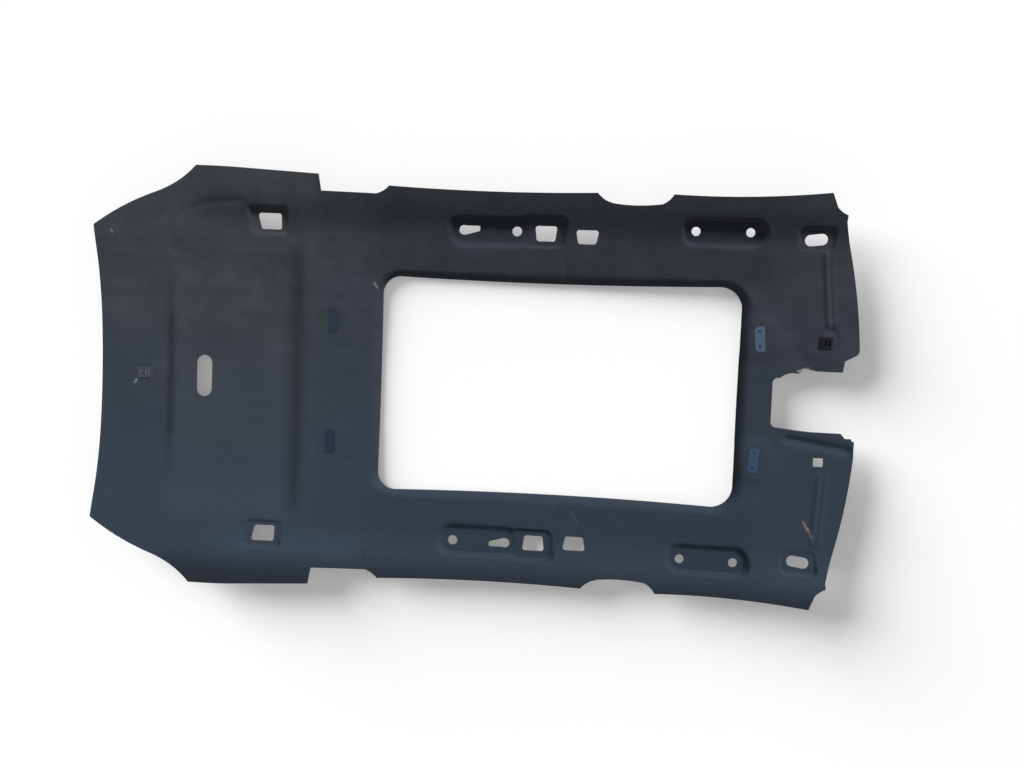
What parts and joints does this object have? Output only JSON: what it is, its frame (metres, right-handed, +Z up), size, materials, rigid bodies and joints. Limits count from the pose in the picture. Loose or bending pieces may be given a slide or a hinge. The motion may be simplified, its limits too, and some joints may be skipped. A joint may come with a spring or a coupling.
{
  "type": "car headliner panel",
  "caption": "Moulded fabric-faced car headliner with a large roof opening, handle recesses, lamp and visor cut-outs, a console notch and small fixing plates.",
  "frame": {"origin": "centre of the footprint, on the surface that the panel lies on with its cabin side up", "axes": "+X towards the front of the car, +Y towards its right-hand side, +Z up out of the cabin face"},
  "size_m": [1.948, 1.076, 0.1232],
  "materials": {
    "charcoal_knit_fabric": "short knit pile on moulded foam-and-fibre board, matte",
    "dark_slate_plastic": "matte moulded plastic, dark slate",
    "slate_blue_plastic": "matte moulded plastic, slate blue",
    "black_plastic": "semi-gloss moulded plastic, black",
    "grey_plastic": "matte moulded plastic, mid grey"
  },
  "bodies": {
    "root": {"headliner_panel": "charcoal_knit_fabric", "fixing_plate_rear_right": "dark_slate_plastic", "fixing_plate_rear_left": "dark_slate_plastic", "fixing_plate_front_right": "slate_blue_plastic", "fixing_plate_front_left": "slate_blue_plastic", "visor_hook_clip": "black_plastic", "rear_clip": "grey_plastic"}
  },
  "joints": []
}
